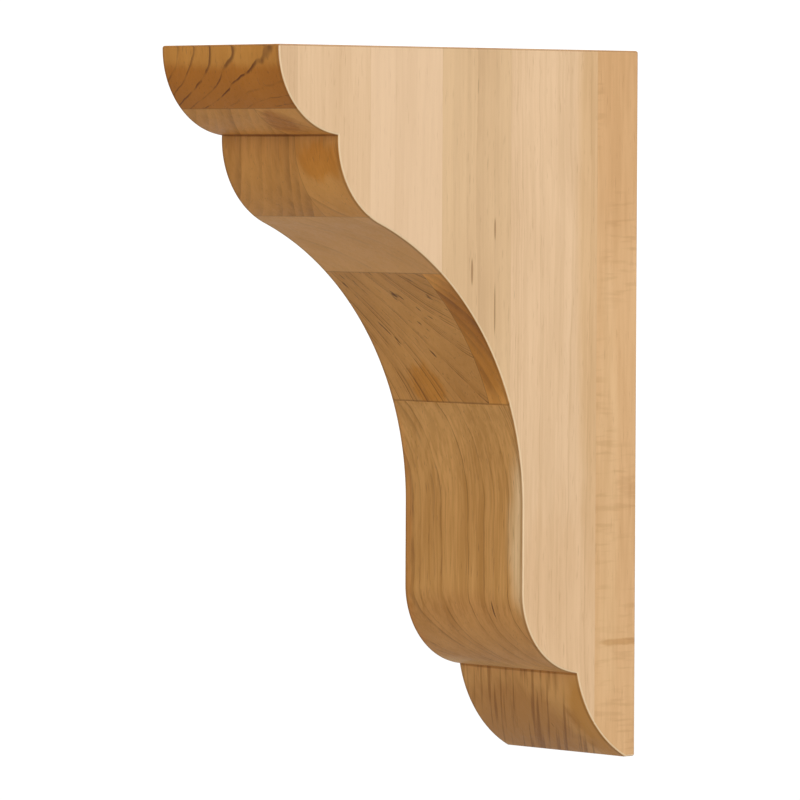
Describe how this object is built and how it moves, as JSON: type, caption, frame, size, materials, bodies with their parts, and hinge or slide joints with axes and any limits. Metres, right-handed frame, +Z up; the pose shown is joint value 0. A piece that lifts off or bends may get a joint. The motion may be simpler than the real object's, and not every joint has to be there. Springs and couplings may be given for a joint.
{
  "type": "wooden corbel bracket",
  "caption": "Glued-up hardwood corbel with an ogee outline, rounded nose, lobe, cove and belly, that carries a shelf or countertop from a wall.",
  "frame": {"origin": "centre of the flat back face that goes against the wall", "axes": "+Z up, +Y out of the back face into the wall, so the nose points to -Y; +X along the width, to the right seen from the front"},
  "size_m": [0.0762, 0.2032, 0.3048],
  "materials": {
    "maple_wall": "clear satin",
    "maple_belly": "clear satin",
    "maple_cove": "clear satin",
    "maple_dark": "clear satin",
    "maple_pale": "clear satin",
    "maple_striped": "clear satin",
    "maple_golden": "clear satin",
    "maple_nose": "clear satin"
  },
  "bodies": {
    "root": {"wall_board": "maple_wall", "belly_board": "maple_belly", "cove_board_left": "maple_cove", "cove_board_right": "maple_dark", "soffit_board": "maple_pale", "lobe_board_left": "maple_striped", "lobe_board_right": "maple_golden", "nose_board": "maple_nose"}
  },
  "joints": []
}
